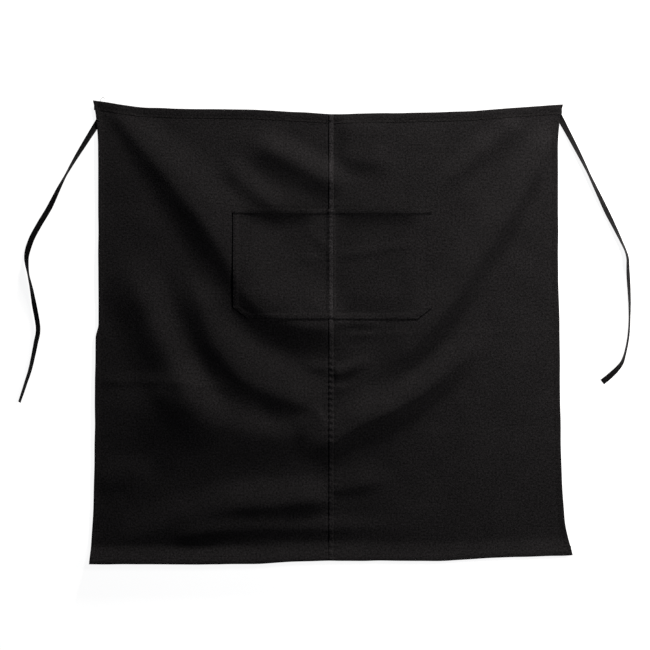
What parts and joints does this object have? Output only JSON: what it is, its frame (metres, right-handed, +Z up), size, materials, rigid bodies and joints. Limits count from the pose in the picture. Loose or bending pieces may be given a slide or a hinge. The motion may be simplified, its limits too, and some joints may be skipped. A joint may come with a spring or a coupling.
{
  "type": "waist apron",
  "caption": "Plain black cotton waist apron with a felled centre seam, a divided patch pocket and self-fabric ties, laid flat.",
  "frame": {"origin": "on the resting surface, under the middle of the apron without its ties", "axes": "+Z up out of the apron's face, +Y towards the waist hem, +X along the waist towards the right of the laid apron as seen from above"},
  "size_m": [1.003, 0.754, 0.0098],
  "materials": {
    "panel_cotton": "matte black cotton, fine close weave with pale slubs",
    "pocket_cotton": "matte black cotton, same cloth as the panels",
    "turned_cotton": "matte black cotton, turned and pressed",
    "tie_cotton": "matte black cotton strip, folded and edge-stitched",
    "sewing_thread": "black spun polyester sewing thread, slight sheen"
  },
  "bodies": {
    "left_half": {"left_panel": "panel_cotton", "left_waist_hem": "turned_cotton", "left_side_hem": "turned_cotton", "left_bottom_hem": "turned_cotton", "centre_seam_fell": "turned_cotton", "left_seam_stitching": "sewing_thread", "right_seam_stitching": "sewing_thread", "left_waist_stitching": "sewing_thread", "left_side_stitching": "sewing_thread", "left_bottom_stitching": "sewing_thread", "left_tie_end": "tie_cotton", "left_tie_tack": "sewing_thread", "left_pocket_front": "pocket_cotton", "left_pocket_mouth_hem": "pocket_cotton", "left_pocket_side_edge": "pocket_cotton", "left_pocket_corner_edge": "pocket_cotton", "left_pocket_bottom_edge": "pocket_cotton", "pocket_divider": "pocket_cotton", "left_pocket_edge_stitching": "sewing_thread", "left_pocket_mouth_stitching": "sewing_thread", "left_divider_stitching": "sewing_thread", "right_divider_stitching": "sewing_thread", "left_pocket_bartack": "sewing_thread"},
    "right_half": {"right_panel": "panel_cotton", "right_waist_hem": "turned_cotton", "right_side_hem": "turned_cotton", "right_bottom_hem": "turned_cotton", "right_waist_stitching": "sewing_thread", "right_side_stitching": "sewing_thread", "right_bottom_stitching": "sewing_thread", "right_tie_end": "tie_cotton", "right_tie_tack": "sewing_thread", "right_pocket_front": "pocket_cotton", "right_pocket_mouth_hem": "pocket_cotton", "right_pocket_side_edge": "pocket_cotton", "right_pocket_corner_edge": "pocket_cotton", "right_pocket_bottom_edge": "pocket_cotton", "right_pocket_edge_stitching": "sewing_thread", "right_pocket_mouth_stitching": "sewing_thread", "right_pocket_bartack": "sewing_thread"},
    "left_tie": {"left_tie": "tie_cotton", "left_tie_stitching": "sewing_thread"},
    "right_tie": {"right_tie": "tie_cotton", "right_tie_stitching": "sewing_thread"}
  },
  "joints": [
    {"name": "centre_fold", "type": "hinge", "parent": "left_half", "child": "right_half", "pos_m": [0.0039, 0, 0.0125], "axis": [0, -1, 0], "range_deg": [0, 180]},
    {"name": "left_tie_swing", "type": "hinge", "parent": "left_half", "child": "left_tie", "pos_m": [-0.3883, 0.3284, 0], "axis": [0, 0, 1], "range_deg": [-90, 12]},
    {"name": "right_tie_swing", "type": "hinge", "parent": "right_half", "child": "right_tie", "pos_m": [0.3792, 0.3378, 0], "axis": [0, 0, 1], "range_deg": [-8, 90]}
  ]
}
